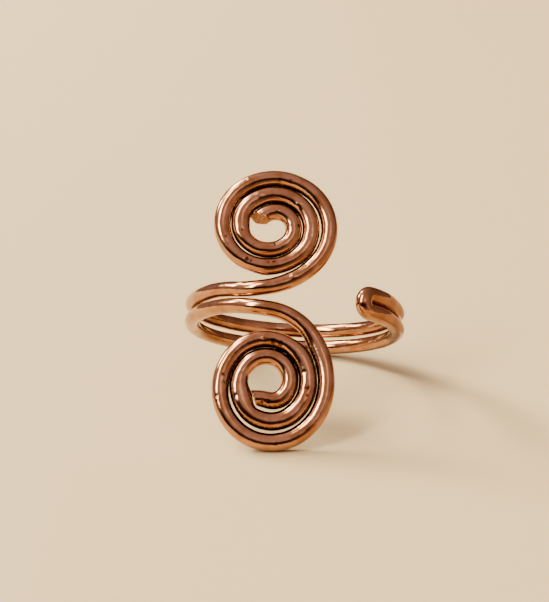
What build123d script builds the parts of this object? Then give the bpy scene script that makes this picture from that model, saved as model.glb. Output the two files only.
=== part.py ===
from build123d import *
import math
import os

# Spiral ring bent from one round copper wire. The wire is folded in half at the front right and
# wrapped round the finger as two strands, one above the other. At the front left the strands part,
# and each ends in a flat spiral: one stands above the band and one hangs below it.
# It is laid out in the ring's own frame, in mm and degrees: the finger runs along Z, X is across
# and -Y is the front. The finished ring is then leaned back, as it rests on a table.

# The wire and the band
wire_d = 1.45
finger_hole_d = 18.0
strand_gap = 0.15

# Angles round the finger: 0 is the right side, 90 the back and 180 the left
fold_angle = -46.0
sag_angle = 130.0
band_start_angle = 216.0
# How much lower the lower strand runs at the back left, where the two strands spread
lower_strand_sag = 0.15
# How much lower both strands run at the right, and at the fold
right_side_angle = -5.0
right_side_drop = 0.45
fold_drop = 0.2

# Both spirals: their even turns, and how far their plane stands out in front of the band
even_turns = 2
spirals_stand_out = 0.05
# Both cut ends: about how far their outer side is from the next turn, and how far the wire is
# straight behind the slanting cut
end_gap = 0.1
end_straight = 0.1

# Upper spiral: its middle to the right, its radius where the turns begin, the least space between
# two turns, how tall it is for its width, and how far its top leans back
upper_across = -2.38
upper_inner_r = 1.165
upper_turn_gap = 0.085
upper_oval_ratio = 0.934
upper_lean_angle = 2.0
# The wire's cut end: where its outer side ends round the spiral, from the left, how the wire slopes
# towards the spiral's middle there, how far the cut is off square, and the side of the wire that it
# faces: 0 is the side away from the middle, 90 the front and 180 the side towards the middle
upper_end_angle = 30.0
upper_end_slope_angle = 34.0
upper_cut_angle = 40.0
upper_cut_side_angle = 140.0
# The first quarter turn, from the left, that the wire's bent end meets
upper_first_quarter = 2
# The lowest point of the wire as it leaves the spiral for the band: its place to the right, how far
# it is below its strand of the band, how it slopes, and how far it runs clear of the round turns
upper_exit_across = -2.3
upper_exit_drop = 0.285
upper_exit_angle = 10.7
upper_exit_slack = 0.33

# Lower spiral: the same sizes, mirrored top to bottom
lower_across = -2.22
lower_inner_r = 0.99
lower_turn_gap = 0.2
lower_oval_ratio = 1.08
lower_lean_angle = 1.0
# How much higher each of its turns lies than the next turn out
lower_turn_rise = 0.13
lower_end_angle = 62.0
lower_end_slope_angle = 2.0
lower_cut_angle = 22.0
lower_cut_side_angle = 0.0
lower_first_quarter = 1
# The highest point of the wire as it crosses above the spiral
lower_exit_across = -2.25
lower_exit_drop = 0.75
lower_exit_angle = -8.5
lower_exit_slack = 1.09

# The ring rests a little rolled to its right
resting_roll_angle = 1.5

wire_r = wire_d / 2
band_r = finger_hole_d / 2 + wire_r
strand_rise = (wire_d + strand_gap) / 2
spirals_depth = -(band_r + spirals_stand_out)
# Quarter turns are counted from the left; an even spiral would meet the way out at the last one
quarters_in_turn = 4
exit_quarter = quarters_in_turn * even_turns + 3


class Spiral:
    """A flat spiral in front of the band. Its hand is 1 if it stands above its exit, -1 if below."""

    def __init__(
        self, hand, across, inner_r, turn_gap, oval_ratio, lean_angle, turn_rise, exit_rise, exit_slack
    ):
        self.hand = hand
        self.inner_r = inner_r
        self.oval_ratio = oval_ratio
        self.turn_rise = turn_rise
        self.pitch = (wire_d + turn_gap) / min(oval_ratio, 1)
        lean = math.radians(lean_angle)
        self.up = Vector(0, math.sin(lean), math.cos(lean))
        self.front = Vector(0, -math.cos(lean), math.sin(lean))
        rise = exit_rise + hand * (oval_ratio * self.radius(exit_quarter) + exit_slack)
        self.middle = Vector(across, spirals_depth, 0) + self.up * rise

    def radius(self, quarter):
        """How far out the wire is after so many quarter turns, if the spiral is round."""
        return self.inner_r + self.pitch * quarter / quarters_in_turn

    def place(self, quarter, radius):
        """The point at this radius after the quarter turns: left, top, right, bottom if hand is 1."""
        angle = math.pi / 2 * quarter
        turns_left = (exit_quarter - quarter) / quarters_in_turn
        across = -radius * math.cos(angle)
        up = self.hand * self.oval_ratio * radius * math.sin(angle) + self.turn_rise * turns_left
        return self.middle + Vector(across, 0, 0) + self.up * up

    def station(self, quarter):
        """The wire's place and way after so many quarter turns."""
        angle = math.pi / 2 * quarter
        radius = self.radius(quarter)
        growth = self.pitch / (2 * math.pi)
        across = radius * math.sin(angle) - growth * math.cos(angle)
        up = self.hand * self.oval_ratio * (radius * math.cos(angle) + growth * math.sin(angle))
        way = Vector(across, 0, 0) + self.up * (up - self.turn_rise / (2 * math.pi))
        return self.place(quarter, radius), way.normalized()

    def cut_end(self, end_angle, slope_angle, cut_angle, cut_side_angle):
        """The middle of the wire's cut end, the wire's way out to it, and the way the cut faces."""
        quarter = end_angle / 90 + quarters_in_turn
        outer_side = self.place(quarter, self.radius(quarter) - wire_r - end_gap)
        slope = math.radians(slope_angle)
        cut = math.radians(cut_angle)
        cut_side = math.radians(cut_side_angle)
        left = Vector(-1, 0, 0)
        outward = self.up * self.hand
        way = left * math.cos(slope) - outward * math.sin(slope)
        side = left * math.sin(slope) + outward * math.cos(slope)
        faced_side = side * math.cos(cut_side) + self.front * math.sin(cut_side)
        slant_reach = wire_r * math.tan(cut) * math.cos(cut_side)
        middle = outer_side - side * wire_r + way * slant_reach
        return middle, way, way * math.cos(cut) + faced_side * math.sin(cut)


def exit_station(across, rise, slope_angle):
    """Where the wire leaves a spiral: it runs to the left and down by the slope."""
    turn = math.radians(slope_angle)
    return Vector(across, spirals_depth, rise), Vector(-math.cos(turn), 0, -math.sin(turn))


def band_station(angle, rise):
    """A place on the band, and the way from the left round the back to the right."""
    turn = math.radians(angle)
    point = Vector(band_r * math.cos(turn), band_r * math.sin(turn), rise)
    return point, Vector(math.sin(turn), -math.cos(turn), 0)


def joining_arcs(start, end):
    """Two arcs that run smoothly from one station to the next."""
    (start_point, start_way), (end_point, end_way) = start, end
    span = end_point - start_point
    turned = 2 * (1 - start_way.dot(end_way))
    along = span.dot(start_way + end_way)
    reach = (math.sqrt(along**2 + turned * span.dot(span)) - along) / turned
    meeting = (start_point + end_point + (start_way - end_way) * reach) * 0.5
    first = TangentArc(start_point, meeting, tangent=start_way)
    second = TangentArc(meeting, end_point, tangent=first % 1)
    return [first, second]


def cut_piece(cut_end):
    """The straight end of the wire, cut off on the slant, and the station where its bends start."""
    middle, way, facing = cut_end
    slant_reach = wire_r * math.sqrt(1 / facing.dot(way) ** 2 - 1)
    bend_start = middle - way * (slant_reach + end_straight)
    section = Plane(bend_start, z_dir=way) * Circle(wire_r)
    straight = extrude(section, 2 * slant_reach + end_straight)
    return split(straight, Plane(middle, z_dir=facing), keep=Keep.BOTTOM), (bend_start, way * -1)


def half_route(bend_start, spiral, first_quarter, way_out):
    """The middle line of one half: the spiral, then the way out of it and a strand of the band."""
    turns = [spiral.station(quarter) for quarter in range(first_quarter, exit_quarter)]
    stations = [bend_start] + turns + way_out
    edges = []
    for start, end in zip(stations, stations[1:]):
        edges += joining_arcs(start, end)
    return edges


def upper_half(fold_end):
    """The wire's upper cut end, and its route through the upper spiral and strand to the fold."""
    exit_rise = strand_rise - upper_exit_drop
    spiral = Spiral(
        hand=1,
        across=upper_across,
        inner_r=upper_inner_r,
        turn_gap=upper_turn_gap,
        oval_ratio=upper_oval_ratio,
        lean_angle=upper_lean_angle,
        turn_rise=0,
        exit_rise=exit_rise,
        exit_slack=upper_exit_slack,
    )
    exit_place = exit_station(upper_exit_across, exit_rise, upper_exit_angle)
    left = band_station(band_start_angle, strand_rise)
    back = band_station(sag_angle, strand_rise)
    right = band_station(right_side_angle, strand_rise - right_side_drop)
    cut_end = spiral.cut_end(
        upper_end_angle, upper_end_slope_angle, upper_cut_angle, upper_cut_side_angle
    )
    piece, bend_start = cut_piece(cut_end)
    way_out = [exit_place, left, back, right, fold_end]
    return piece, half_route(bend_start, spiral, upper_first_quarter, way_out)


def lower_half(fold_end):
    """The wire's lower cut end, and its route through the lower spiral and strand to the fold."""
    exit_rise = -strand_rise - lower_exit_drop
    spiral = Spiral(
        hand=-1,
        across=lower_across,
        inner_r=lower_inner_r,
        turn_gap=lower_turn_gap,
        oval_ratio=lower_oval_ratio,
        lean_angle=lower_lean_angle,
        turn_rise=lower_turn_rise,
        exit_rise=exit_rise,
        exit_slack=lower_exit_slack,
    )
    exit_place = exit_station(lower_exit_across, exit_rise, lower_exit_angle)
    left = band_station(band_start_angle, -strand_rise)
    back = band_station(sag_angle, -strand_rise - lower_strand_sag)
    right = band_station(right_side_angle, -strand_rise - right_side_drop)
    cut_end = spiral.cut_end(
        lower_end_angle, lower_end_slope_angle, lower_cut_angle, lower_cut_side_angle
    )
    piece, bend_start = cut_piece(cut_end)
    way_out = [exit_place, left, back, right, fold_end]
    return piece, half_route(bend_start, spiral, lower_first_quarter, way_out)


def bent_wire():
    """The whole wire in the ring's own frame, and the middle line of all but its cut ends."""
    upper_end = band_station(fold_angle, strand_rise - fold_drop)
    lower_end = band_station(fold_angle, -strand_rise - fold_drop)
    fold_tip = (upper_end[0] + lower_end[0]) * 0.5 + upper_end[1] * strand_rise
    fold = ThreePointArc(upper_end[0], fold_tip, lower_end[0])
    upper_piece, upper_route = upper_half(upper_end)
    lower_piece, lower_route = lower_half(lower_end)
    route = Wire(upper_route + [fold] + lower_route)
    section = Plane(route @ 0, z_dir=route % 0) * Circle(wire_r)
    return sweep(section, path=route) + upper_piece + lower_piece, route


def resting_lean(route):
    """How far the ring leans back so that the lower spiral and the back of the band touch the table."""
    samples = 800
    places = [route @ (step / samples) for step in range(samples + 1)]
    least, most = 0.0, 90.0
    halvings = 30
    for _ in range(halvings):
        lean = (least + most) / 2
        leaned = [place.rotate(Axis.Y, resting_roll_angle).rotate(Axis.X, -lean) for place in places]
        front = min(here.Z for here, place in zip(leaned, places) if place.Y < 0)
        back = min(here.Z for here, place in zip(leaned, places) if place.Y > 0)
        if front < back:
            least = lean
        else:
            most = lean
    return lean


def resting_ring():
    """The ring as it rests: it touches the table at Z = 0, with its middle above the origin."""
    wire, route = bent_wire()
    ring = Rot(-resting_lean(route), 0, 0) * Rot(0, resting_roll_angle, 0) * wire
    box = ring.bounding_box()
    return Pos(-box.center().X, -box.center().Y, -box.min.Z) * ring


os.makedirs("parts", exist_ok=True)
export_step(resting_ring(), "parts/ring_wire.step")
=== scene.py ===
"""Looks of the spiral ring: one bent copper wire with its dents, cut ends and polish."""
import logging
import math
from dataclasses import dataclass, field, replace
from enum import Enum

import bpy
import numpy as np
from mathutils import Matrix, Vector, noise


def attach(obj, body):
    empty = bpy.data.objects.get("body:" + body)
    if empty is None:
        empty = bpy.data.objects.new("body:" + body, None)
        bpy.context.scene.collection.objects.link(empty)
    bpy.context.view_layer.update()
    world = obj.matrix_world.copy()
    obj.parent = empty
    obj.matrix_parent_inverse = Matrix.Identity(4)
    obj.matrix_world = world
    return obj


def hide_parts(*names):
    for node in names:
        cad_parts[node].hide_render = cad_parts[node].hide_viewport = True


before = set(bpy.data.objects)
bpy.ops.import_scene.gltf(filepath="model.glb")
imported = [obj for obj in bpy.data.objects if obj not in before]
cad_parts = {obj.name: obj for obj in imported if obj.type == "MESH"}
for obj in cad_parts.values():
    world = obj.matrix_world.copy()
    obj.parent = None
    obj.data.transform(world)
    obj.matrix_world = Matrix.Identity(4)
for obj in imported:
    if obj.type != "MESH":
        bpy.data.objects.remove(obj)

LOG = logging.getLogger("spiral_ring")
MM = 0.001
QUARTERS_IN_TURN = 4
# A way that leaves its chord by less than this share of it runs straight
STRAIGHT_SHARE = 1e-9

# A pair is a range, or a pattern's scale and detail
Pair = tuple[float, float]
Triple = tuple[float, float, float]
Colour = tuple[float, float, float, float]

# The radiance of one pane of the window that the copper mirrors
PANE_LIGHT = (56.0, 54.0, 46.0)


# Node trees


class Value:
    """A number's socket in a node tree; arithmetic on it adds Math nodes."""

    def __init__(self, bench: "Bench", socket: bpy.types.NodeSocket) -> None:
        """Keeps the socket and the bench that its tree is built on."""
        self.bench = bench
        self.socket = socket

    def math(self, operation: str, *others: "Value | float") -> "Value":
        """Adds one Math node.

        Args:
            operation: the Math node's operation.
            others: its second and third value.

        Returns:
            The node's result.
        """
        values = dict(enumerate((self, *others)))
        return self.bench.add(self.bench.math_node, {"operation": operation}, values)

    def __add__(self, other: "Value | float") -> "Value":
        """Sum."""
        return self.math("ADD", other)

    __radd__ = __add__

    def __mul__(self, other: "Value | float") -> "Value":
        """Product."""
        return self.math("MULTIPLY", other)

    __rmul__ = __mul__

    def __sub__(self, other: "Value | float") -> "Value":
        """Difference."""
        return self.math("SUBTRACT", other)

    def __rsub__(self, other: float) -> "Value":
        """Difference from a plain number."""
        return self.math("MULTIPLY", -1.0).math("ADD", other)

    def __rtruediv__(self, other: float) -> "Value":
        """A plain number divided by this."""
        return self.math("POWER", -1.0).math("MULTIPLY", other)

    def __pow__(self, other: "Value | float") -> "Value":
        """Power."""
        return self.math("POWER", other)

    def smooth(self, low: float, high: float) -> "Value":
        """Rises smoothly from 0 at low to 1 at high."""
        span = {"Value": self, "From Min": low, "From Max": high}
        return self.bench.add("ShaderNodeMapRange", {"interpolation_type": "SMOOTHSTEP"}, span)


class Bench:
    """Builds one node tree."""

    math_node = "ShaderNodeMath"

    def __init__(self, tree: bpy.types.NodeTree) -> None:
        """Takes an empty node tree."""
        self.tree = tree

    def add(
        self,
        kind: str,
        settings: dict[str, object] | None = None,
        inputs: dict[str | int, object] | None = None,
        out: str | int = 0,
    ) -> Value:
        """Adds one node of any type.

        Args:
            kind: the node's type.
            settings: the node's own properties, such as a Math node's operation.
            inputs: values or links, by the socket's name or number.
            out: the output that is wanted.

        Returns:
            That output.
        """
        node = self.tree.nodes.new(kind)
        for name, setting in (settings or {}).items():
            setattr(node, name, setting)
        for name, given in (inputs or {}).items():
            if isinstance(given, Value):
                self.tree.links.new(given.socket, node.inputs[name])
            else:
                node.inputs[name].default_value = given
        return Value(self, node.outputs[out] if len(node.outputs) else None)

    def mixed(self, share: Value | float, first: object, second: object) -> Value:
        """Mixes two colours by a share from 0 to 1."""
        inputs = {0: share, 6: first, 7: second}
        return self.add("ShaderNodeMix", {"data_type": "RGBA"}, inputs, out=2)

    def mottle(self, place: Value, scale: float, detail: float) -> Value:
        """Soft noise from 0 to 1."""
        inputs = {"Vector": place, "Scale": scale, "Detail": detail}
        return self.add("ShaderNodeTexNoise", {}, inputs)

    def attribute(self, name: str, out: str) -> Value:
        """One of the mesh's own attributes."""
        return self.add("ShaderNodeAttribute", {"attribute_name": name}, out=out)

    def towards(self, way: Value, target: Triple) -> Value:
        """The cosine of the angle between a direction and a fixed one."""
        settings = {"operation": "DOT_PRODUCT"}
        return self.add("ShaderNodeVectorMath", settings, {0: way, 1: target}, out="Value")

    def dress(self, inputs: dict[str, object]) -> None:
        """Ends a material in a Principled shader with these inputs."""
        shader = self.add("ShaderNodeBsdfPrincipled", {}, inputs)
        self.add("ShaderNodeOutputMaterial", {}, {"Surface": shader})


# What every piece needs


def new_material(name: str) -> tuple[bpy.types.Material, Bench]:
    """A material with an empty node tree, and the bench to build it on."""
    material = bpy.data.materials.new(name)
    material.use_nodes = True
    material.node_tree.nodes.clear()
    return material, Bench(material.node_tree)


def new_object(name: str, data: bpy.types.ID) -> bpy.types.Object:
    """An object with this data, in the scene."""
    made = bpy.data.objects.new(name, data)
    bpy.context.scene.collection.objects.link(made)
    return made


def flat_sheet(
    name: str, across: Pair, along: Pair, height: float, material: bpy.types.Material
) -> bpy.types.Object:
    """Makes one rectangle that lies flat and faces up.

    Args:
        name: the object's name.
        across: its lowest and highest X.
        along: its lowest and highest Y.
        height: its Z.
        material: what it is finished in.

    Returns:
        The object.
    """
    (left, right), (front, back) = across, along
    corners = [(left, front), (right, front), (right, back), (left, back)]
    mesh = bpy.data.meshes.new(name)
    mesh.from_pydata([(*corner, height) for corner in corners], [], [(0, 1, 2, 3)])
    mesh.materials.append(material)
    return new_object(name, mesh)


# The wire's route


class Strand(Enum):
    """The two halves of the wire, by the side of the band's middle that they are on."""

    UPPER = 1
    LOWER = -1


@dataclass(frozen=True)
class SpiralSizes:
    """One flat spiral in front of the band and its cut end, in mm and degrees.

    Attributes:
        strand: the half of the wire that it ends.
        across: how far to the right its middle is.
        inner_r: its radius where the turns begin.
        turn_gap: the least space between two turns.
        oval: how tall it is for its width.
        lean: how far its top leans back.
        end_angle: where the cut end's outer side is round the spiral, from the left.
        end_slope: how the wire slopes towards the middle there.
        cut: how far the cut is off square.
        cut_side: the side that the cut faces, from the side away from the middle past the front.
        first_quarter: the first quarter turn after the cut end's bend.
        exit_across: how far to the right the way out is.
        exit_rise: how far above its strand of the band the way out is.
        exit_slope: how the way out slopes.
        exit_slack: how far the way out runs clear of the round turns.
        turn_rise: how much higher each turn lies than the next turn out.
    """

    strand: Strand
    across: float
    inner_r: float
    turn_gap: float
    oval: float
    lean: float
    end_angle: float
    end_slope: float
    cut: float
    cut_side: float
    first_quarter: int
    exit_across: float
    exit_rise: float
    exit_slope: float
    exit_slack: float
    turn_rise: float = 0.0

    @property
    def right(self) -> np.ndarray:
        """The way across the spiral."""
        return np.array([1.0, 0, 0])

    @property
    def up(self) -> np.ndarray:
        """The way up in the spiral's plane."""
        lean = math.radians(self.lean)
        return np.array([0, math.sin(lean), math.cos(lean)])

    @property
    def front(self) -> np.ndarray:
        """The way that the spiral faces."""
        lean = math.radians(self.lean)
        return np.array([0, -math.cos(lean), math.sin(lean)])


@dataclass(frozen=True)
class Station:
    """A place that the wire passes, and its way there."""

    point: np.ndarray
    way: np.ndarray


@dataclass(frozen=True)
class CutEnd:
    """A cut end: its middle, the wire's way out to it, the side that it faces, and its slant."""

    middle: np.ndarray
    way: np.ndarray
    faced_side: np.ndarray
    slant: float


def unit(vector: np.ndarray) -> np.ndarray:
    """The vector at length 1."""
    return vector / np.linalg.norm(vector)


def unit_rows(vectors: np.ndarray) -> np.ndarray:
    """Each row at length 1."""
    return vectors / np.linalg.norm(vectors, axis=1)[:, None]


def smooth_rise(value: np.ndarray, low: float, high: float) -> np.ndarray:
    """Rises smoothly from 0 at low to 1 at high."""
    share = np.clip((value - low) / (high - low), 0, 1)
    return share * share * (3 - 2 * share)


def nearest(points: np.ndarray, place: np.ndarray) -> int:
    """Which of the points is nearest to a place."""
    return int(np.linalg.norm(points - place, axis=1).argmin())


def lengths_along(points: np.ndarray) -> np.ndarray:
    """How far along a line each of its points is."""
    return np.concatenate([[0], np.cumsum(np.linalg.norm(np.diff(points, axis=0), axis=1))])


def rows_at(places: np.ndarray, length: np.ndarray, rows: np.ndarray) -> np.ndarray:
    """Rows that are known at some lengths, read at other places along them."""
    return np.column_stack([np.interp(places, length, column) for column in rows.T])


def arc_points(start: np.ndarray, way: np.ndarray, end: np.ndarray, step: float) -> np.ndarray:
    """Points along the arc that leaves start by way and ends at end.

    Args:
        start: where the arc starts.
        way: its direction there.
        end: where it ends.
        step: about how far apart the points are.

    Returns:
        The points, without the first one.
    """
    chord = end - start
    length = np.linalg.norm(chord)
    side = chord - way * chord.dot(way)
    if np.linalg.norm(side) < STRAIGHT_SHARE * length:
        count = max(2, round(length / step))
        return start + np.outer(np.arange(1, count + 1) / count, chord)
    side = unit(side)
    half = math.acos(min(1.0, chord.dot(way) / length))
    radius = length / (2 * math.sin(half))
    count = max(2, round(2 * half * radius / step))
    turn = 2 * half * np.arange(1, count + 1) / count
    return start + radius * (np.outer(np.sin(turn), way) + np.outer(1 - np.cos(turn), side))


def joined(start: Station, end: Station, step: float) -> np.ndarray:
    """Points along two arcs that join one station smoothly to the next, without the first one."""
    span = end.point - start.point
    turned = 2 * (1 - start.way.dot(end.way))
    along = span.dot(start.way + end.way)
    reach = (math.sqrt(along**2 + turned * span.dot(span)) - along) / turned
    meeting = (start.point + end.point + (start.way - end.way) * reach) / 2
    first = arc_points(start.point, start.way, meeting, step)
    second = arc_points(end.point, -end.way, meeting, step)[::-1]
    return np.vstack([first, second[1:], end.point])


@dataclass(frozen=True)
class RingSizes:
    """The ring's sizes, in mm and degrees.

    They are in its own frame: the finger runs along Z, X is across and -Y is the front. Angles
    round the band start at the right and pass the back. step is how finely the wire's middle
    line is laid out.
    """

    wire_d: float = 1.45
    finger_hole_d: float = 18.0
    strand_gap: float = 0.15
    fold_angle: float = -46.0
    sag_angle: float = 130.0
    band_start_angle: float = 216.0
    lower_strand_sag: float = 0.15
    right_side_angle: float = -5.0
    right_side_drop: float = 0.45
    fold_drop: float = 0.2
    even_turns: int = 2
    odd_quarters: int = 3
    spirals_stand_out: float = 0.05
    end_gap: float = 0.1
    end_straight: float = 0.1
    resting_roll: float = 1.5
    step: float = 0.1
    upper: SpiralSizes = SpiralSizes(
        strand=Strand.UPPER, across=-2.38, inner_r=1.165, turn_gap=0.085, oval=0.934, lean=2.0,
        end_angle=30.0, end_slope=34.0, cut=40.0, cut_side=140.0, first_quarter=2,
        exit_across=-2.3, exit_rise=-0.285, exit_slope=10.7, exit_slack=0.33,
    )
    lower: SpiralSizes = SpiralSizes(
        strand=Strand.LOWER, across=-2.22, inner_r=0.99, turn_gap=0.2, oval=1.08, lean=1.0,
        end_angle=62.0, end_slope=2.0, cut=22.0, cut_side=0.0, first_quarter=1,
        exit_across=-2.25, exit_rise=-0.75, exit_slope=-8.5, exit_slack=1.09, turn_rise=0.13,
    )

    @property
    def wire_r(self) -> float:
        """The wire's radius."""
        return self.wire_d / 2

    @property
    def band_r(self) -> float:
        """The radius of the band's middle line."""
        return self.finger_hole_d / 2 + self.wire_r

    @property
    def strand_rise(self) -> float:
        """How far each strand is from the middle of the band."""
        return (self.wire_d + self.strand_gap) / 2

    @property
    def exit_quarter(self) -> int:
        """The quarter turn, counted from the left, at which an even spiral would end."""
        return QUARTERS_IN_TURN * self.even_turns + self.odd_quarters


@dataclass(frozen=True)
class WireRoute:
    """The middle line of the whole wire, from the upper cut end to the lower one."""

    sizes: RingSizes

    def exit_height(self, spiral: SpiralSizes) -> float:
        """How high the wire is where it leaves a spiral."""
        return spiral.strand.value * self.sizes.strand_rise + spiral.exit_rise

    def pitch(self, spiral: SpiralSizes) -> float:
        """How much farther out each turn is than the last."""
        return (self.sizes.wire_d + spiral.turn_gap) / min(spiral.oval, 1)

    def middle(self, spiral: SpiralSizes) -> np.ndarray:
        """The middle of a spiral, at the depth of the wire's own middle."""
        sizes = self.sizes
        last_r = spiral.inner_r + self.pitch(spiral) * sizes.exit_quarter / QUARTERS_IN_TURN
        rise = spiral.oval * last_r + spiral.exit_slack
        depth = -(sizes.band_r + sizes.spirals_stand_out)
        return (
            spiral.right * spiral.across
            + np.array([0, depth, 0])
            + spiral.up * (self.exit_height(spiral) + spiral.strand.value * rise)
        )

    def place(self, spiral: SpiralSizes, angle: float, radius: float) -> np.ndarray:
        """A place in a spiral's plane, by its angle from the left and its radius if it is round."""
        turns_left = self.sizes.exit_quarter / QUARTERS_IN_TURN - angle / (2 * math.pi)
        tall = spiral.strand.value * spiral.oval * radius * math.sin(angle)
        up = spiral.up * (tall + spiral.turn_rise * turns_left)
        return self.middle(spiral) - spiral.right * radius * math.cos(angle) + up

    def cut_end(self, spiral: SpiralSizes) -> CutEnd:
        """The cut end in the middle of a spiral."""
        sizes = self.sizes
        turns = 1 + spiral.end_angle / 360
        next_turn = spiral.inner_r + self.pitch(spiral) * turns - sizes.wire_r
        outer = self.place(spiral, math.radians(spiral.end_angle + 360), next_turn - sizes.end_gap)
        slope = math.radians(spiral.end_slope)
        cut_side = math.radians(spiral.cut_side)
        outward = spiral.up * spiral.strand.value
        way = -spiral.right * math.cos(slope) - outward * math.sin(slope)
        side = -spiral.right * math.sin(slope) + outward * math.cos(slope)
        faced_side = side * math.cos(cut_side) + spiral.front * math.sin(cut_side)
        slant = math.tan(math.radians(spiral.cut))
        reach = sizes.wire_r * slant * math.cos(cut_side)
        return CutEnd(outer - side * sizes.wire_r + way * reach, way, faced_side, slant)

    def spiral_stations(self, spiral: SpiralSizes) -> list[Station]:
        """The stations of one spiral, from its cut end outward.

        Args:
            spiral: its sizes.

        Returns:
            The start of the cut end's bend, the quarter turns and the way out.
        """
        sizes = self.sizes
        end = self.cut_end(spiral)
        bend_start = end.middle - end.way * (sizes.wire_r * end.slant + sizes.end_straight)
        stations = [Station(bend_start, -end.way)]
        growth = self.pitch(spiral) / (2 * math.pi)
        for quarter in range(spiral.first_quarter, sizes.exit_quarter):
            angle = math.pi / 2 * quarter
            radius = spiral.inner_r + self.pitch(spiral) * quarter / QUARTERS_IN_TURN
            across = radius * math.sin(angle) - growth * math.cos(angle)
            tall = spiral.oval * (radius * math.cos(angle) + growth * math.sin(angle))
            tall = spiral.strand.value * tall - spiral.turn_rise / (2 * math.pi)
            way = spiral.right * across + spiral.up * tall
            stations.append(Station(self.place(spiral, angle, radius), unit(way)))
        stations.append(self.exit_station(spiral))
        return stations

    def exit_station(self, spiral: SpiralSizes) -> Station:
        """Where the wire leaves a spiral for the band."""
        slope = math.radians(spiral.exit_slope)
        depth = -(self.sizes.band_r + self.sizes.spirals_stand_out)
        point = np.array([spiral.exit_across, depth, self.exit_height(spiral)])
        return Station(point, np.array([-math.cos(slope), 0, -math.sin(slope)]))

    def band_station(self, angle: float, rise: float) -> Station:
        """A place on the band, and the way from the left round the back to the right."""
        turn = math.radians(angle)
        radius = self.sizes.band_r
        point = np.array([radius * math.cos(turn), radius * math.sin(turn), rise])
        return Station(point, np.array([math.sin(turn), -math.cos(turn), 0]))

    def half(self, spiral: SpiralSizes) -> np.ndarray:
        """Points from a cut end to the fold."""
        sizes = self.sizes
        rise = spiral.strand.value * sizes.strand_rise
        sag = rise - (sizes.lower_strand_sag if spiral.strand is Strand.LOWER else 0)
        stations = self.spiral_stations(spiral)
        stations.append(self.band_station(sizes.band_start_angle, rise))
        stations.append(self.band_station(sizes.sag_angle, sag))
        stations.append(self.band_station(sizes.right_side_angle, rise - sizes.right_side_drop))
        stations.append(self.band_station(sizes.fold_angle, rise - sizes.fold_drop))
        cut = self.cut_end(spiral).middle
        points = [cut[None, :], arc_points(cut, stations[0].way, stations[0].point, sizes.step)]
        for start, end in zip(stations, stations[1:]):
            points.append(joined(start, end, sizes.step))
        return np.vstack(points)

    def fold_start(self) -> Station:
        """The middle of the band where the fold starts, and the way to the fold's tip."""
        return self.band_station(self.sizes.fold_angle, -self.sizes.fold_drop)

    def points(self) -> np.ndarray:
        """Evenly spaced points along the whole wire, in mm, in the ring's own frame."""
        sizes = self.sizes
        fold = self.fold_start()
        turn = np.linspace(0, math.pi, round(math.pi * sizes.strand_rise / sizes.step) + 1)[1:-1]
        rise = np.outer(np.cos(turn), [0, 0, 1.0]) + np.outer(np.sin(turn), fold.way)
        tip = fold.point + sizes.strand_rise * rise
        rough = np.vstack([self.half(sizes.upper), tip, self.half(sizes.lower)[::-1]])
        length = lengths_along(rough)
        even = np.linspace(0, length[-1], round(length[-1] / sizes.step) + 1)
        return rows_at(even, length, rough)


@dataclass(frozen=True)
class RestingPose:
    """How the ring lies on the table: its turn, and where its middle is, in mm."""

    turn: np.ndarray
    middle: np.ndarray

    def placed(self, points: np.ndarray) -> np.ndarray:
        """A point or points of the ring's own frame, on the table."""
        return points @ self.turn.T + self.middle

    def turned(self, vector: np.ndarray | Triple) -> np.ndarray:
        """A direction of the ring's own frame, on the table."""
        return self.turn @ np.array(vector)


def resting_turn(lean: float, roll: float) -> np.ndarray:
    """The turn that rolls the ring to its right and leans it back, by angles in radians."""
    rolled = np.array(
        [[math.cos(roll), 0, math.sin(roll)], [0, 1, 0], [-math.sin(roll), 0, math.cos(roll)]]
    )
    leaned = np.array(
        [[1, 0, 0], [0, math.cos(lean), math.sin(lean)], [0, -math.sin(lean), math.cos(lean)]]
    )
    return leaned @ rolled


def resting_pose(points: np.ndarray, sizes: RingSizes) -> RestingPose:
    """Leans the ring back until its lower spiral and the back of its band touch the table.

    Args:
        points: the wire's middle line, in the ring's own frame.
        sizes: the ring's sizes.

    Returns:
        The pose, with the middle of the ring's box over the origin.
    """
    roll = math.radians(sizes.resting_roll)
    least, most = 0.0, math.pi / 2
    halvings = 30
    for _ in range(halvings):
        lean = (least + most) / 2
        height = (points @ resting_turn(lean, roll).T)[:, 2]
        if height[points[:, 1] < 0].min() < height[points[:, 1] > 0].min():
            least = lean
        else:
            most = lean
    turn = resting_turn(lean, roll)
    turned = points @ turn.T
    reach = sizes.wire_r * np.sqrt(1 - unit_rows(np.gradient(turned, axis=0)) ** 2)
    low, high = (turned - reach).min(axis=0), (turned + reach).max(axis=0)
    middle = -(low + high) / 2
    middle[2] = -low[2]
    return RestingPose(turn, middle)


# Finishes


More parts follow.
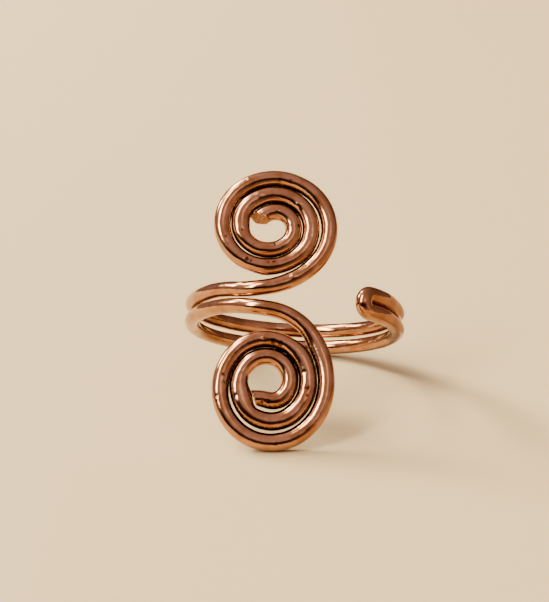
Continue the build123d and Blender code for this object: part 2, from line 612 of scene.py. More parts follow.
@dataclass(frozen=True)
class CopperFinish:
    """Polished copper wire with drawing lines, pits, a little tarnish and painted shade in the
    crevices between turns.

    Its patterns follow the unbent wire, in mm, and its heights are in metres. Each pattern is
    its scale and its detail.

    Attributes:
        colour: most of the copper.
        deep_colour: its redder patches.
        wear_and_shade_colour: its pits and tarnish, and the painted shade of the crevices between
            turns.
        cut_colour: its cut faces.
        roughness: of the clean copper.
        line_roughness: how much rougher a drawing line is.
        pit_roughness: how much rougher a pit is.
        cut_roughness: how much rougher a cut face is.
        wave_height: how high its broad waves are.
        grain_height: how high its grain is.
        line_share: the drawing lines' height, as a share of the grain's.
        pit_depth: how deep a pit is.
        tarnish_depth: how deep tarnish has eaten, and how deep the bump dips where the crevices
            have painted shade.
        crumple_height: how crumpled a cut face is.
        line_stretch: how fine the drawing lines are along the wire and across it.
        lines, patches, waves, grain, crumple, pitted: the patterns; pits are only where pitted.
        pit_scale: how close together its pits are.
        patch_noise, line_noise, pitted_noise: the noise at which each starts and is whole.
        pit_edge: how far from its middle a pit starts to end and has ended.
        tarnish_and_shade_edge: the tarnish and painted crevice shade that start to show, and those
            that show whole.
        tarnish_and_shade_tear: how the crumple's noise tears the edge of the tarnish and painted
            crevice shade: its gain and its loss.
    """

    colour: Colour = (0.44, 0.224, 0.114, 1.0)
    deep_colour: Colour = (0.34, 0.155, 0.065, 1.0)
    wear_and_shade_colour: Colour = (0.06, 0.022, 0.013, 1.0)
    cut_colour: Colour = (0.45, 0.21, 0.09, 1.0)
    roughness: float = 0.08
    line_roughness: float = 0.08
    pit_roughness: float = 0.25
    cut_roughness: float = 0.08
    wave_height: float = 2.4e-5
    grain_height: float = 6e-6
    line_share: float = 0.35
    pit_depth: float = 4e-6
    tarnish_depth: float = 5e-6
    crumple_height: float = 2.2e-4
    line_stretch: Triple = (0.30, 7.0, 7.0)
    lines: Pair = (1.0, 3.0)
    patches: Pair = (0.7, 2.0)
    waves: Pair = (0.9, 1.0)
    grain: Pair = (3.2, 3.0)
    crumple: Pair = (6.0, 4.0)
    pitted: Pair = (0.6, 1.0)
    pit_scale: float = 1.3
    patch_noise: Pair = (0.40, 0.65)
    line_noise: Pair = (0.45, 0.75)
    pitted_noise: Pair = (0.54, 0.62)
    pit_edge: Pair = (0.05, 0.13)
    tarnish_and_shade_edge: Pair = (0.35, 0.75)
    tarnish_and_shade_tear: Pair = (2.6, 0.3)

    def material(self) -> bpy.types.Material:
        """Builds the material.

        Returns:
            The material, whose patterns follow the wire.
        """
        material, bench = new_material("polished_copper")
        unbent = bench.attribute("unbent", "Vector")
        # The worn attribute holds tarnish and the painted shade of the crevices between turns.
        worn = bench.attribute("worn", "Fac")
        cut = bench.attribute("cut", "Fac")
        stretched = {"Vector": unbent, "Scale": self.line_stretch}
        lines = bench.mottle(bench.add("ShaderNodeMapping", {}, stretched), *self.lines)
        crumple = bench.mottle(unbent, *self.crumple)
        cell = {"Vector": unbent, "Scale": self.pit_scale}
        pits = bench.add("ShaderNodeTexVoronoi", {"feature": "F1"}, cell)
        pitted = bench.mottle(unbent, *self.pitted).smooth(*self.pitted_noise)
        pit = (1.0 - pits.smooth(*self.pit_edge)) * pitted
        gain, loss = self.tarnish_and_shade_tear
        # Tarnish and painted crevice shade, torn by the crumple's noise, darken the colour below.
        ragged_tarnish_and_shade = (worn * (gain * crumple - loss)).smooth(*self.tarnish_and_shade_edge)
        patch = bench.mottle(unbent, *self.patches).smooth(*self.patch_noise)
        colour = bench.mixed(patch, self.colour, self.deep_colour)
        colour = bench.mixed(cut, colour, self.cut_colour)
        colour = bench.mixed(pit.math("MAXIMUM", ragged_tarnish_and_shade), colour, self.wear_and_shade_colour)
        rough = self.roughness + self.line_roughness * lines.smooth(*self.line_noise)
        rough = rough + self.pit_roughness * pit + self.cut_roughness * cut
        height = self.wave_height * bench.mottle(unbent, *self.waves)
        grain = bench.mottle(unbent, *self.grain) + self.line_share * lines
        height = height + self.grain_height * grain
        height = height - self.pit_depth * pit - self.tarnish_depth * ragged_tarnish_and_shade
        height = height + self.crumple_height * cut * crumple
        bump = bench.add("ShaderNodeBump", {}, {"Strength": 1.0, "Distance": 1.0, "Height": height})
        bench.dress({"Base Color": colour, "Metallic": 1.0, "Roughness": rough, "Normal": bump})
        return material


@dataclass(frozen=True)
class FloorFinish:
    """Plain pale table top."""

    colour: Colour = (0.50, 0.37, 0.19, 1.0)
    roughness: float = 0.6

    def material(self) -> bpy.types.Material:
        """Builds the material."""
        material, bench = new_material("pale_table")
        bench.dress({"Base Color": self.colour, "Roughness": self.roughness})
        return material


# The wire


@dataclass(frozen=True)
class Spot:
    """A worn place on the front of a spiral, in mm from the spiral's middle.

    Attributes:
        across: how far right it is.
        up: how far up it is.
        size: its radius.
        depth: how deep the wire is nicked; a lump is less than 0.
        dark: how tarnished it is, up to 1.
    """

    across: float
    up: float
    size: float
    depth: float = 0.0
    dark: float = 0.0


@dataclass(frozen=True)
class Wear:
    """Where the spirals are nicked, lumpy and tarnished, charted one by one."""

    upper: tuple[Spot, ...] = (
        Spot(-2.64, -0.60, 0.20, 0.05, 0.7),
        Spot(-4.05, -1.23, 0.25, 0.0, 0.7),
        Spot(-3.83, -1.92, 0.30, 0.0, 0.5),
        Spot(-2.08, -3.35, 0.30, 0.02, 0.9),
        Spot(-1.71, -3.49, 0.25, 0.0, 0.7),
        Spot(-0.18, -3.56, 0.20, 0.02, 0.8),
        Spot(0.36, -3.52, 0.20, 0.0, 0.8),
        Spot(2.10, -4.81, 0.20, -0.03, 0.5),
        Spot(3.11, -3.82, 0.25, 0.02, 0.8),
        Spot(1.71, 0.03, 0.14, -0.04, 0.0),
        Spot(2.44, -0.03, 0.20, 0.04, 0.8),
        Spot(-1.17, 2.85, 0.28, -0.04, 0.0),
        Spot(2.44, 1.99, 0.25, -0.04, 0.0),
        Spot(0.68, 4.20, 0.25, 0.02, 0.7),
        Spot(1.65, 4.15, 0.20, 0.02, 0.8),
        Spot(-2.18, 4.29, 0.14, -0.03, 0.0),
        Spot(0.41, -1.87, 0.25, 0.02, 0.7),
        Spot(3.57, -1.00, 0.35, 0.04, 0.2),
        Spot(5.26, 1.76, 0.20, 0.0, 0.6),
        Spot(0.54, 1.34, 0.12, -0.05, 0.0),
    )
    lower: tuple[Spot, ...] = (
        Spot(-0.53, 4.24, 0.20, 0.04, 0.6),
        Spot(0.33, 4.00, 0.35, 0.0, 0.9),
        Spot(0.97, 3.82, 0.30, 0.0, 0.9),
        Spot(-4.03, 0.83, 0.25, 0.02, 0.7),
        Spot(-4.03, 0.18, 0.25, 0.0, 0.7),
        Spot(-4.49, -1.06, 0.20, 0.02, 0.9),
        Spot(-4.49, -1.47, 0.20, 0.0, 0.8),
        Spot(-2.84, -1.01, 0.22, 0.03, 0.8),
        Spot(-2.93, -0.46, 0.15, 0.0, 0.6),
        Spot(3.13, 1.24, 0.20, 0.04, 0.6),
        Spot(3.40, -0.18, 0.25, 0.04, 0.8),
        Spot(3.31, -0.92, 0.20, 0.03, 0.7),
        Spot(-0.52, -1.47, 0.18, 0.04, 1.0),
        Spot(0.02, -1.45, 0.15, 0.04, 1.0),
        Spot(-0.79, -1.56, 0.12, 0.02, 0.9),
        Spot(0.77, -5.15, 0.12, 0.02, 0.5),
        Spot(4.26, -3.30, 0.12, 0.03, 0.7),
        Spot(-2.39, 1.24, 0.15, -0.02, 0.3),
    )


@dataclass(frozen=True)
class WireSide:
    """A stretch along one side of a spiral's wire.

    Attributes:
        strand: the spiral's strand.
        radius: how far the side is from the spiral's middle, in mm.
        first_angle: where it starts, in degrees from the left over the top.
        last_angle: where it ends.
        swell: how much farther the wire bulges there, in mm.
        near: how far from the side a place starts to leave it and has left it, in mm.
        outer_fade: how far outside its ends a place has left it, in degrees.
        inner_fade: how far inside them a place starts to leave it.
    """

    strand: Strand
    radius: float
    first_angle: float
    last_angle: float
    swell: float = 0.0
    near: Pair = (0.5, 0.8)
    outer_fade: float = 12.0
    inner_fade: float = 8.0

    def share(self, radius: np.ndarray, angle: np.ndarray) -> np.ndarray:
        """How much each of the given places belongs to it, from 0 to 1."""
        near = 1 - smooth_rise(np.abs(radius - self.radius), *self.near)
        past = (angle - self.first_angle + self.outer_fade) % 360 - self.outer_fade
        span = self.last_angle - self.first_angle
        begun = smooth_rise(past, -self.outer_fade, self.inner_fade)
        ended = smooth_rise(past, span - self.inner_fade, span + self.outer_fade)
        return near * begun * (1 - ended)


@dataclass(frozen=True)
class TurnGaps:
    """How the turns of each spiral nearly touch, as hammered wire spreads, in mm.

    Attributes:
        filled_share: how much of a gap the wire of each side fills.
        chink_share: how much of it each side fills at a chink.
        wide_gap: the gap from which the wire spreads less, and the one to which it doesn't.
        next_turn_from: how much farther along the wire the next turn is, at least.
        evened_over: the length over which the spread is evened out.
        chinks: where a gap stays more open.
        inner_bulges: where the wire bulges towards its spiral's middle.
    """

    filled_share: float = 0.495
    chink_share: float = 0.29
    wide_gap: Pair = (0.35, 0.80)
    next_turn_from: float = 3.0
    evened_over: float = 1.2
    chinks: tuple[WireSide, ...] = (
        WireSide(Strand.UPPER, 2.9, 240, 345),
        WireSide(Strand.UPPER, 4.3, 128, 205),
        WireSide(Strand.UPPER, 4.4, 232, 275),
        WireSide(Strand.LOWER, 1.9, 235, 303),
        WireSide(Strand.LOWER, 3.7, 205, 345),
    )
    inner_bulges: tuple[WireSide, ...] = (
        WireSide(Strand.LOWER, 2.1, 314, 350, swell=0.52),
    )

    def openness(self, strand: Strand, radius: np.ndarray, angle: np.ndarray) -> np.ndarray:
        """How open the gap beside each place of a spiral stays, from 0 to 1."""
        chinks = [chink.share(radius, angle) for chink in self.chinks if chink.strand is strand]
        return np.max([np.zeros(len(angle)), *chinks], axis=0)

    def spread(self, route: WireRoute, points: np.ndarray, pose: RestingPose) -> np.ndarray:
        """How far the wire spreads towards its neighbours at each point of its route.

        Args:
            route: the wire's route.
            points: its middle line on the table, in mm.
            pose: how the ring lies.

        Returns:
            Two columns: towards the middle of its spiral and away from it, in mm.
        """
        sizes = route.sizes
        spread = np.zeros((len(points), 2))
        for spiral in (sizes.upper, sizes.lower):
            exit_at = nearest(points, pose.placed(route.exit_station(spiral).point))
            span = (0, exit_at) if spiral.strand is Strand.UPPER else (exit_at, len(points))
            own = np.arange(*span)
            place = points[own] - pose.placed(route.middle(spiral))
            across, tall = place @ pose.turned(spiral.right), place @ pose.turned(spiral.up)
            radius = np.hypot(across, tall)
            angle = np.degrees(np.arctan2(tall, -across)) % 360
            far = np.linalg.norm(place[:, None] - place[None], axis=2) - sizes.wire_d
            other_turn = np.abs(own[:, None] - own[None]) * sizes.step > self.next_turn_from
            closer_in = radius[None] < radius[:, None]
            for column, (way, turns) in enumerate(((-1, closer_in), (1, ~closer_in))):
                gap = np.where(other_turn & turns, far, np.inf).min(axis=1)
                beside = radius + way * sizes.wire_r
                openness = self.openness(spiral.strand, beside, angle)
                share = self.filled_share + (self.chink_share - self.filled_share) * openness
                share *= 1 - smooth_rise(gap, *self.wide_gap)
                spread[own, column] = share * np.minimum(gap, self.wide_gap[1])
            for bulge in self.inner_bulges:
                if bulge.strand is spiral.strand:
                    spread[own, 0] += bulge.swell * bulge.share(radius - sizes.wire_r, angle)
        window = np.ones(round(self.evened_over / sizes.step))
        window /= len(window)
        return np.column_stack([np.convolve(column, window, mode="same") for column in spread.T])


@dataclass(frozen=True)
class LocalFrames:
    """For each vertex of the wire, where it is along the wire and across its section, in mm.

    Attributes:
        along: how far along the wire it is, from the upper cut end.
        length: how long the whole wire is.
        middle: the wire's middle there.
        way: the wire's way there.
        front: the way out of the band, or to the front of a spiral.
        side: the way across both.
        across_front: the vertex's place by front.
        across_side: the vertex's place by side.
        upper_share: 1 in the upper spiral, 0 outside it.
        lower_share: 1 in the lower spiral, 0 outside it.
    """

    along: np.ndarray
    length: float
    middle: np.ndarray
    way: np.ndarray
    front: np.ndarray
    side: np.ndarray
    across_front: np.ndarray
    across_side: np.ndarray
    upper_share: np.ndarray
    lower_share: np.ndarray

    def section(self) -> np.ndarray:
        """Each vertex's place from the wire's middle."""
        return self.front * self.across_front[:, None] + self.side * self.across_side[:, None]

    def behind(self, strand: Strand) -> np.ndarray:
        """How far each vertex is behind a strand's cut end."""
        return self.along if strand is Strand.UPPER else self.length - self.along

    def scaled(self, depth: np.ndarray, width: np.ndarray) -> "LocalFrames":
        """The same frames with a flatter or slimmer section."""
        return replace(
            self, across_front=self.across_front * depth, across_side=self.across_side * width
        )


@dataclass
class BentWire:
    """The whole ring: one copper wire swept along its route, then hammered, cut and nicked.

    Lengths are in mm.

    Attributes:
        sizes: the ring's sizes.
        finish: what the wire is finished in.
        wear: its worn places.
        gaps: how its turns nearly touch.
        sides: how many sides its round section has.
        dent_depth: how deep its dents are.
        dent_size: how large they are.
        dent_noise: the noise at which a dent starts and is whole.
        seed: which dents it gets.
        band_share: the band's thickness, as a share of the CAD wire's.
        spiral_width_share: the spirals' width, as such a share.
        spiral_depth_share: the spirals' depth, as such a share.
        spiral_fade: how far before and past its way out a spiral turns into the band.
        rim_rounding: how round the rim of a cut is.
        ring_step: how far apart the rings of a cut face are.
        face_rings: the rings' shares of the wire's radius.
        rim_turns: the degrees round the rim's rounding at which it has rings.
        slant_reach: how far back a cut's slant is felt, for a slant of 1 and a radius of 1.
        least_slant: the least slant that this goes by.
        cut_rim: how far behind the cut its face starts to end and has ended.
        cut_roughness: how high the bumps of a cut face are.
        bumps_per_mm: how fine they are.
        crevice_painted_shade: how dark the painted shade in the crevice between two turns is.
        upper_crevice_from: where it starts in the upper spiral, as a share of the radius.
        lower_crevice_from: where it starts in the lower spiral.
        crevice_fade: how much farther out it is whole.
        crevice_spread: how far the wire has spread where it is whole.
        front_side: how far forward, from the wire's middle, its front starts and is whole.
        fold_thickening: how much thicker the fold is, as a share.
        fold_reach: how far from the fold this starts to end and has ended.
    """

    sizes: RingSizes = field(default_factory=RingSizes)
    finish: CopperFinish = field(default_factory=CopperFinish)
    wear: Wear = field(default_factory=Wear)
    gaps: TurnGaps = field(default_factory=TurnGaps)
    sides: int = 40
    dent_depth: float = 0.02
    dent_size: float = 1.6
    dent_noise: Pair = (0.4, 0.75)
    seed: int = 7
    band_share: float = 0.98
    spiral_width_share: float = 1.0
    spiral_depth_share: float = 0.95
    spiral_fade: Pair = (4.0, 3.0)
    rim_rounding: float = 0.07
    ring_step: float = 0.0004
    face_rings: tuple[float, ...] = (0.08, 0.28, 0.46, 0.62, 0.78)
    rim_turns: tuple[float, ...] = (0.0, 30.0, 60.0, 90.0)
    slant_reach: float = 1.7
    least_slant: float = 0.3
    cut_rim: Pair = (0.02, 0.10)
    cut_roughness: float = 0.10
    bumps_per_mm: float = 3.0
    crevice_painted_shade: float = 0.75
    upper_crevice_from: float = 0.68
    lower_crevice_from: float = 0.50
    crevice_fade: float = 0.28
    crevice_spread: float = 0.03
    front_side: Pair = (-0.1, 0.15)
    fold_thickening: float = 0.10
    fold_reach: Pair = (2.0, 4.5)

    def end_rings(self) -> tuple[np.ndarray, np.ndarray]:
        """The rings that close a cut end.

        Returns:
            How far each is behind the cut, in mm, and its share of the wire's radius.
        """
        behind_flat = self.ring_step * np.arange(len(self.face_rings))
        turn = np.radians(self.rim_turns)
        behind = behind_flat[-1] + self.ring_step + self.rim_rounding * (1 - np.cos(turn))
        share = 1 - self.rim_rounding * (1 - np.sin(turn)) / self.sizes.wire_r
        return np.concatenate([behind_flat, behind]), np.concatenate([self.face_rings, share])

    def curve(self, points: np.ndarray) -> bpy.types.Object:
        """Makes the route a curve whose radius closes at the two cut ends.

        Args:
            points: the route on the table, in mm.

        Returns:
            A curve object with one open spline.
        """
        behind, share = self.end_rings()
        first = points[0] + np.outer(behind, unit(points[1] - points[0]))
        last = points[-1] + np.outer(behind, unit(points[-2] - points[-1]))
        places = np.vstack([first, points[1:-1], last[::-1]])
        shares = np.concatenate([share, np.ones(len(points) - 2), share[::-1]])
        data = bpy.data.curves.new("wire_route", "CURVE")
        data.dimensions = "3D"
        spline = data.splines.new("POLY")
        spline.points.add(len(places) - 1)
        flat = np.column_stack([places * MM, np.ones(len(places))]).astype(np.float32)
        spline.points.foreach_set("co", flat.ravel())
        spline.points.foreach_set("radius", shares.astype(np.float32))
        return new_object("wire_route", data)

    def sweep_tree(self, material: bpy.types.Material) -> bpy.types.NodeTree:
        """Builds the Geometry Nodes tree that sweeps the round section and dents it.

        Args:
            material: what the wire is finished in.

        Returns:
            The tree, with named inputs for its sizes.
        """
        tree = bpy.data.node_groups.new("wire_sweep", "GeometryNodeTree")
        tree.interface.new_socket("Geometry", in_out="INPUT", socket_type="NodeSocketGeometry")
        for name, kind in (
            ("Wire Radius", "NodeSocketFloat"),
            ("Sides", "NodeSocketInt"),
            ("Dent Depth", "NodeSocketFloat"),
            ("Dent Size", "NodeSocketFloat"),
            ("Seed", "NodeSocketInt"),
        ):
            tree.interface.new_socket(name, in_out="INPUT", socket_type=kind)
        tree.interface.new_socket("Geometry", in_out="OUTPUT", socket_type="NodeSocketGeometry")
        bench = Bench(tree)
        entry = tree.nodes.new("NodeGroupInput")
        given = {socket.name: Value(bench, socket) for socket in entry.outputs if socket.name}
        length = bench.add("GeometryNodeSplineParameter", out="Length")
        route = bench.add(
            "GeometryNodeStoreNamedAttribute",
            {"data_type": "FLOAT", "domain": "POINT"},
            {"Geometry": given["Geometry"], "Name": "along", "Value": length},
        )
        ring = bench.add(
            "GeometryNodeCurvePrimitiveCircle",
            {},
            {"Resolution": given["Sides"], "Radius": given["Wire Radius"]},
        )
        swept = bench.add(
            "GeometryNodeCurveToMesh",
            {},
            {
                "Curve": route,
                "Profile Curve": ring,
                "Scale": bench.add("GeometryNodeInputRadius"),
                "Fill Caps": True,
            },
        )
        dents = bench.add(
            "ShaderNodeTexNoise",
            {"noise_dimensions": "4D"},
            {"W": given["Seed"] * 1.0, "Scale": 1.0 / given["Dent Size"], "Detail": 2.0},
        )
        normal = bench.add("GeometryNodeInputNormal")
        push = bench.add(
            "ShaderNodeVectorMath",
            {"operation": "SCALE"},
            {0: normal, "Scale": dents.smooth(*self.dent_noise) * given["Dent Depth"] * -1.0},
        )
        dented = bench.add("GeometryNodeSetPosition", {}, {"Geometry": swept, "Offset": push})
        smooth = bench.add("GeometryNodeSetShadeSmooth", {}, {"Geometry": dented})
        real = bench.add("GeometryNodeRealizeInstances", {}, {"Geometry": smooth})
        dressed = bench.add("GeometryNodeSetMaterial", {}, {"Geometry": real, "Material": material})
        exit_node = tree.nodes.new("NodeGroupOutput")
        tree.links.new(dressed.socket, exit_node.inputs[0])
        return tree

    def swept(self, curve: bpy.types.Object, tree: bpy.types.NodeTree) -> bpy.types.Mesh:
        """Runs the tree on the curve.

        Args:
            curve: the route.
            tree: the sweep's node tree.

        Returns:
            A plain mesh in metres.
        """
        modifier = curve.modifiers.new("sweep", "NODES")
        modifier.node_group = tree
        values = {
            "Wire Radius": self.sizes.wire_r * MM,
            "Sides": self.sides,
            "Dent Depth": self.dent_depth * MM,
            "Dent Size": self.dent_size * MM,
            "Seed": self.seed,
        }
        for item in tree.interface.items_tree:
            if item.item_type == "SOCKET" and item.in_out == "INPUT" and item.name in values:
                modifier[item.identifier] = values[item.name]
        bpy.context.view_layer.update()
        evaluated = curve.evaluated_get(bpy.context.evaluated_depsgraph_get())
        mesh = bpy.data.meshes.new_from_object(evaluated)
        bpy.data.objects.remove(curve)
        return mesh

    def local_frames(
        self, mesh: bpy.types.Mesh, points: np.ndarray, pose: RestingPose
    ) -> LocalFrames:
        """The wire's own directions at each vertex.

        Args:
            mesh: the swept wire.
            points: its middle line on the table, in mm.
            pose: how the ring lies.

        Returns:
            The frames, whose front is the band's outside or the front of a spiral.
        """
        count = len(mesh.vertices)
        along = np.zeros(count, np.float32)
        mesh.attributes["along"].data.foreach_get("value", along)
        along = along.astype(float) / MM
        places = np.zeros(count * 3, np.float32)
        mesh.vertices.foreach_get("co", places)
        places = places.reshape(-1, 3).astype(float) / MM
        length = lengths_along(points)
        middle = rows_at(along, length, points)
        way = unit_rows(rows_at(along, length, np.gradient(points, axis=0)))
        finger = pose.turned((0, 0, 1))
        from_middle = middle - pose.middle
        outward = unit_rows(from_middle - np.outer(from_middle @ finger, finger))
        inside, past = self.spiral_fade
        shares = []
        for spiral in (self.sizes.upper, self.sizes.lower):
            exit_place = pose.placed(WireRoute(self.sizes).exit_station(spiral).point)
            exit_at = length[nearest(points, exit_place)]
            if spiral.strand is Strand.UPPER:
                share = 1 - smooth_rise(along, exit_at - inside, exit_at + past)
            else:
                share = smooth_rise(along, exit_at - past, exit_at + inside)
            outward = outward + share[:, None] * (pose.turned(spiral.front) - outward)
            shares.append(share)
        side = unit_rows(np.cross(way, outward))
        front = np.cross(side, way)
        offset = places - middle
        by_front, by_side = (offset * front).sum(axis=1), (offset * side).sum(axis=1)
        return LocalFrames(along, length[-1], middle, way, front, side, by_front, by_side, *shares)

    def cut_slants(self, frames: LocalFrames, pose: RestingPose) -> tuple[np.ndarray, np.ndarray]:
        """How the cut ends slant and how rough they are.

        Args:
            frames: the wire's own directions at each vertex.
            pose: how the ring lies.

        Returns:
            Each vertex's move in mm, and its share in a cut face.
        """
        route = WireRoute(self.sizes)
        moves = np.zeros_like(frames.middle)
        cut_share = np.zeros(len(moves))
        section = frames.section()
        for spiral in (self.sizes.upper, self.sizes.lower):
            end = route.cut_end(spiral)
            way, faced = pose.turned(end.way), pose.turned(end.faced_side)
            behind = frames.behind(spiral.strand)
            reach = self.slant_reach * self.sizes.wire_r * max(end.slant, self.least_slant)
            hold = 1 - smooth_rise(behind, 0, reach)
            slide = -end.slant * (section @ faced) * hold
            moves += np.outer(slide, way)
            face = 1 - smooth_rise(behind, *self.cut_rim)
            cut_share += face
            facing = unit(way + end.slant * faced)
            for index in np.flatnonzero(face > 0):
                place = Vector(frames.middle[index] + section[index])
                bump = noise.noise(place * self.bumps_per_mm)
                moves[index] += facing * face[index] * self.cut_roughness * bump
        return moves, cut_share

    def spread(
        self, frames: LocalFrames, points: np.ndarray, pose: RestingPose
    ) -> tuple[np.ndarray, np.ndarray]:
        """How the turns spread towards each other.

        Args:
            frames: the wire's own directions at each vertex.
            points: its middle line on the table, in mm.
            pose: how the ring lies.

        Returns:
            Each vertex's move in mm, and how deep in a crevice it is, up to 1, which sets the
            crevice's painted shade.
        """
        moves = np.zeros_like(frames.middle)
        crevice = np.zeros(len(moves))
        route = WireRoute(self.sizes)
        length = np.linspace(0, frames.length, len(points))
        inward, outward = rows_at(frames.along, length, self.gaps.spread(route, points, pose)).T
        section = frames.section()
        for spiral, share, dark_from in (
            (self.sizes.upper, frames.upper_share, self.upper_crevice_from),
            (self.sizes.lower, frames.lower_share, self.lower_crevice_from),
        ):
            place = frames.middle - pose.placed(route.middle(spiral))
            radial = unit_rows(np.cross(np.cross(frames.way, place), frames.way))
            reach = (section * radial).sum(axis=1) / self.sizes.wire_r
            amount = np.where(reach < 0, inward, outward) * share
            moves += radial * (amount * reach)[:, None]
            # Painted shade: the sides of two nearly touching turns are darkened deep in their
            # crevice.
            deep = smooth_rise(np.abs(reach), dark_from, dark_from + self.crevice_fade)
            crevice += deep * smooth_rise(amount, 0.0, self.crevice_spread)
        return moves, crevice

    def worn(self, frames: LocalFrames, pose: RestingPose) -> tuple[np.ndarray, np.ndarray]:
        """The nicks, lumps and tarnish of the spirals.

        Args:
            frames: the wire's own directions at each vertex.
            pose: how the ring lies.

        Returns:
            Each vertex's move in mm, and how tarnished it is.
        """
        route = WireRoute(self.sizes)
        moves = np.zeros_like(frames.middle)
        dark = np.zeros(len(moves))
        facing_front = smooth_rise(frames.across_front, *self.front_side)
        for spiral, spots, share in (
            (self.sizes.upper, self.wear.upper, frames.upper_share),
            (self.sizes.lower, self.wear.lower, frames.lower_share),
        ):
            right, up, front = (pose.turned(way) for way in (spiral.right, spiral.up, spiral.front))
            place = frames.middle + frames.section() - pose.placed(route.middle(spiral))
            across, tall = place @ right, place @ up
            on_spiral = facing_front * (share > 0.5)
            for spot in spots:
                gap = ((across - spot.across) ** 2 + (tall - spot.up) ** 2) / spot.size**2
                touch = np.exp(-gap) * on_spiral
                moves -= np.outer(touch * spot.depth, front)
                dark = np.maximum(dark, touch * spot.dark)
        return moves, dark

    def build(self) -> bpy.types.Object:
        """Makes the dressed wire.

        Returns:
            The finished piece, which stands for the CAD node.
        """
        route = WireRoute(self.sizes)
        own = route.points()
        pose = resting_pose(own, self.sizes)
        points = pose.placed(own)
        mesh = self.swept(self.curve(points), self.sweep_tree(self.finish.material()))
        frames = self.local_frames(mesh, points, pose)
        spirals = frames.upper_share + frames.lower_share
        width = self.band_share + (self.spiral_width_share - self.band_share) * spirals
        depth = self.band_share + (self.spiral_depth_share - self.band_share) * spirals
        from_fold = np.linalg.norm(frames.middle - pose.placed(route.fold_start().point), axis=1)
        thicker = 1 + self.fold_thickening * (1 - smooth_rise(from_fold, *self.fold_reach))
        unbent = np.column_stack([frames.along, frames.across_front, frames.across_side])
        frames = frames.scaled(depth * thicker, width * thicker)
        slants, cut_share = self.cut_slants(frames, pose)
        nicks, tarnish = self.worn(frames, pose)
        spread, crevice = self.spread(frames, points, pose)
        # The crevices' painted shade joins the tarnish in the worn attribute.
        dark = np.maximum(tarnish, self.crevice_painted_shade * crevice)
        places = frames.middle + frames.section() + spread + slants + nicks
        mesh.vertices.foreach_set("co", (places * MM).astype(np.float32).ravel())
        for name, kind, slot, values in (
            ("unbent", "FLOAT_VECTOR", "vector", unbent),
            # worn: the tarnish, and the painted shade of the crevices between turns.
            ("worn", "FLOAT", "value", dark),
            ("cut", "FLOAT", "value", cut_share),
        ):
            attribute = mesh.attributes.new(name, kind, "POINT")
            attribute.data.foreach_set(slot, values.astype(np.float32).ravel())
        mesh.attributes.remove(mesh.attributes["along"])
        mesh.update()
        mesh.name = "copper_wire"
        middle = np.round(pose.middle, 4)
        LOG.info("wire: %d faces, middle of the ring %s mm", len(mesh.polygons), middle)
        return new_object("copper_wire", mesh)


# The studio


@dataclass
class Table:
    """The plain pale surface that the ring lies on, in metres."""

    side: float = 6.0
    finish: FloorFinish = field(default_factory=FloorFinish)

    def build(self) -> bpy.types.Object:
        """Makes the table top."""
        reach = (-self.side / 2, self.side / 2)
        return flat_sheet("table_top", reach, reach, 0.0, self.finish.material())


@dataclass
class DarkReflectionCard:
    """A card that lies flat beside the ring and shows only in the copper: a painted dark reflection
    in place of the pale table.

    Lengths are in metres.

    Attributes:
        name: the card's name.
        left, right: its lowest and highest X.
        front, back: its lowest and highest Y.
        height: how high it lies.
        near_colour: the painted reflection's colour beside the ring.
        far_colour: the painted reflection's colour farther in front.
        fade: how far in front of the ring one colour turns into the other.
        roughness: how matt it is.
    """

    name: str = "front_reflection_card"
    left: float = -0.02
    right: float = 0.5
    front: float = -0.8
    back: float = -0.015
    height: float = 0.0004
    near_colour: Colour = (0.42, 0.25, 0.11, 1.0)
    far_colour: Colour = (0.05, 0.034, 0.03, 1.0)
    fade: Pair = (0.035, 0.09)
    roughness: float = 0.9

    def build(self) -> bpy.types.Object:
        """Makes the card."""
        material, bench = new_material(self.name)
        place = bench.add("ShaderNodeTexCoord", out="Object")
        ahead = -1.0 * bench.add("ShaderNodeSeparateXYZ", {}, {"Vector": place}, out="Y")
        colour = bench.mixed(ahead.smooth(*self.fade), self.near_colour, self.far_colour)
        bench.dress({"Base Color": colour, "Roughness": self.roughness})
        across, along = (self.left, self.right), (self.front, self.back)
        card = flat_sheet(self.name, across, along, self.height, material)
        card.visible_camera = False
        card.visible_diffuse = False
        card.visible_shadow = False
        card.visible_transmission = False
        return card


@dataclass(frozen=True)
class SoftBox:
    """One soft studio light that looks at the ring; the copper doesn't mirror it.

    Attributes:
        name: its name.
        place: where it is, in metres.
        size: its width and height.
        power: in watts.
        colour: its tint.
    """

    name: str
    place: Triple
    size: Pair
    power: float
    colour: Triple = (1.0, 0.93, 0.84)

    def build(self) -> bpy.types.Object:
        """Makes the light."""
        data = bpy.data.lights.new(self.name, "AREA")
        data.shape = "RECTANGLE"
        data.size, data.size_y = self.size
        data.energy = self.power
        data.color = self.colour
        light = new_object(self.name, data)
        light.location = self.place
        light.rotation_euler = (-Vector(self.place)).to_track_quat("-Z", "Y").to_euler()
        light.visible_camera = False
        light.visible_glossy = False
        return light


def room_way(turn: float, height: float) -> Triple:
    """The direction to a place in the room.

    Args:
        turn: the direction round the ring in degrees; 0 is the front and 90 the right.
        height: how high it is, in degrees.

    Returns:
        The direction, at length 1.
    """
    turn, height = math.radians(turn), math.radians(height)
    level = math.cos(height)
    return (level * math.sin(turn), -level * math.cos(turn), math.sin(height))


@dataclass(frozen=True)
class Glow:
    """A soft patch of the room that the copper mirrors, brighter or darker than the rest.

    Attributes:
        turn: its direction round the ring, in degrees from the front to the right.
        height: how high it is, in degrees.
        spread: about how many degrees across its half is.
        colour: its radiance.
    """

    turn: float
    height: float
    spread: float
    colour: Triple

    @property
    def sharpness(self) -> float:
        """The power that makes the patch half as strong at its spread."""
        return math.log(0.5) / math.log(math.cos(math.radians(self.spread)))


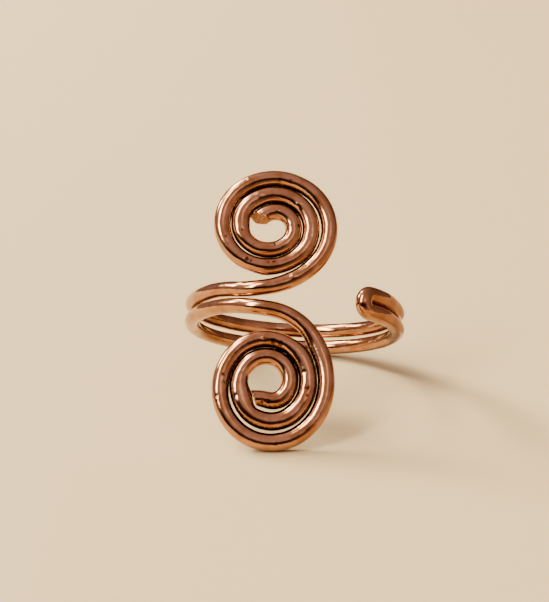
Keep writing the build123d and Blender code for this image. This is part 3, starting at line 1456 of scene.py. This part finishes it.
@dataclass
class Studio:
    """The lights and the room that the copper mirrors.

    Heights are the sine of the angle above level.

    Attributes:
        boxes: the lights.
        low: the room's radiance at its foot.
        high: its radiance overhead.
        rise: the heights between which one turns into the other.
        horizon_turn: the direction of the dark strip in front, as a glow's turn.
        horizon_colour: its radiance.
        horizon_foot: the heights between which it begins.
        horizon_top: the heights between which it ends.
        horizon_sides: how it begins at its sides, by the cosine of the angle from its direction.
        glows: the bright and dark patches, of which the brightest are a window's panes.
    """

    boxes: tuple[SoftBox, ...] = (
        SoftBox("window_back_left", (-0.45, 0.30, 0.32), (0.16, 0.16), 8.5),
    )
    low: Colour = (0.52, 0.35, 0.34, 1.0)
    high: Colour = (0.88, 0.62, 0.62, 1.0)
    rise: Pair = (0.1, 0.9)
    horizon_turn: float = -12.0
    horizon_colour: Colour = (0.05, 0.025, 0.02, 1.0)
    horizon_foot: Pair = (-0.06, 0.06)
    horizon_top: Pair = (0.44, 0.62)
    horizon_sides: Pair = (0.55, 0.82)
    glows: tuple[Glow, ...] = (
        Glow(125, 25, 40, (0.35, 0.22, 0.18)),
        Glow(-115, 55, 22, (1.60, 1.15, 1.05)),
        Glow(50, 0, 20, (0.95, 0.62, 0.50)),
        Glow(150, 12, 20, (0.20, 0.10, 0.07)),
        Glow(-165, 15, 18, (0.25, 0.13, 0.09)),
        Glow(20, 44, 7, (2.6, 1.9, 1.6)),
        Glow(-115, 32, 5, PANE_LIGHT),
        Glow(-114, 56, 5, PANE_LIGHT),
        Glow(-140, 45, 5, PANE_LIGHT),
        Glow(-50, 35, 5, PANE_LIGHT),
        Glow(-57, 49, 5, PANE_LIGHT),
        Glow(-65, 62, 5, (44.0, 42.0, 36.0)),
    )

    def build(self) -> None:
        """Makes the lights and the room."""
        for box in self.boxes:
            box.build()
        world = bpy.data.worlds.new("room")
        bpy.context.scene.world = world
        world.use_nodes = True
        world.node_tree.nodes.clear()
        bench = Bench(world.node_tree)
        way = bench.add("ShaderNodeTexCoord", out="Generated")
        height = bench.add("ShaderNodeSeparateXYZ", {}, {"Vector": way}, out="Z")
        colour = bench.mixed(height.smooth(*self.rise), self.low, self.high)
        facing = bench.towards(way, room_way(self.horizon_turn, 0.0))
        strip = height.smooth(*self.horizon_foot) * (1.0 - height.smooth(*self.horizon_top))
        strip = strip * facing.smooth(*self.horizon_sides)
        colour = bench.mixed(strip, colour, self.horizon_colour)
        for glow in self.glows:
            facing = bench.towards(way, room_way(glow.turn, glow.height))
            share = facing.math("MAXIMUM", 0.0) ** glow.sharpness
            colour = bench.mixed(share, colour, (*glow.colour, 1.0))
        shown = bench.add("ShaderNodeBackground", {}, {"Color": colour, "Strength": 1.0})
        bench.add("ShaderNodeOutputWorld", {}, {"Surface": shown})


@dataclass(frozen=True)
class PhotoCamera:
    """The camera at the photograph's viewing angle, in mm and degrees from the table's origin.

    Attributes:
        place: where it is.
        pitch: how far it looks down.
        focal_pixels: its focal length, in pixels of the photograph.
        image_height: the photograph's height in pixels.
        sensor: the height of its sensor.
        clip: the nearest and farthest that it sees, in metres.
    """

    place: Triple = (-1.909, -139.800, 58.556)
    pitch: float = 19.297
    focal_pixels: float = 1600.0
    image_height: float = 602.0
    sensor: float = 36.0
    clip: Pair = (0.005, 20.0)

    def build(self) -> bpy.types.Object:
        """Makes the camera and looks through it."""
        data = bpy.data.cameras.new("photo_camera")
        data.sensor_fit = "VERTICAL"
        data.sensor_height = self.sensor
        data.lens = self.sensor * self.focal_pixels / self.image_height
        data.clip_start, data.clip_end = self.clip
        camera = new_object("photo_camera", data)
        camera.location = Vector(self.place) * MM
        camera.rotation_euler = (math.radians(90 - self.pitch), 0, 0)
        bpy.context.scene.camera = camera
        return camera


def main() -> None:
    """Builds the camera, the studio, the table, the reflection cards and the ring."""
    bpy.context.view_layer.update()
    PhotoCamera().build()
    Studio().build()
    # Painted dark reflections: cards that only the copper shows, in front of the ring and to its
    # right.
    side_reflection_card = DarkReflectionCard(
        "side_reflection_card", left=0.014, front=-0.015, back=0.4, near_colour=(0.28, 0.17, 0.08, 1.0)
    )
    Table().build()
    DarkReflectionCard().build()
    side_reflection_card.build()
    wire = BentWire().build()
    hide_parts("ring_wire")
    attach(wire, "root")


if __name__ == "__main__":
    logging.basicConfig(level=logging.INFO)
    main()
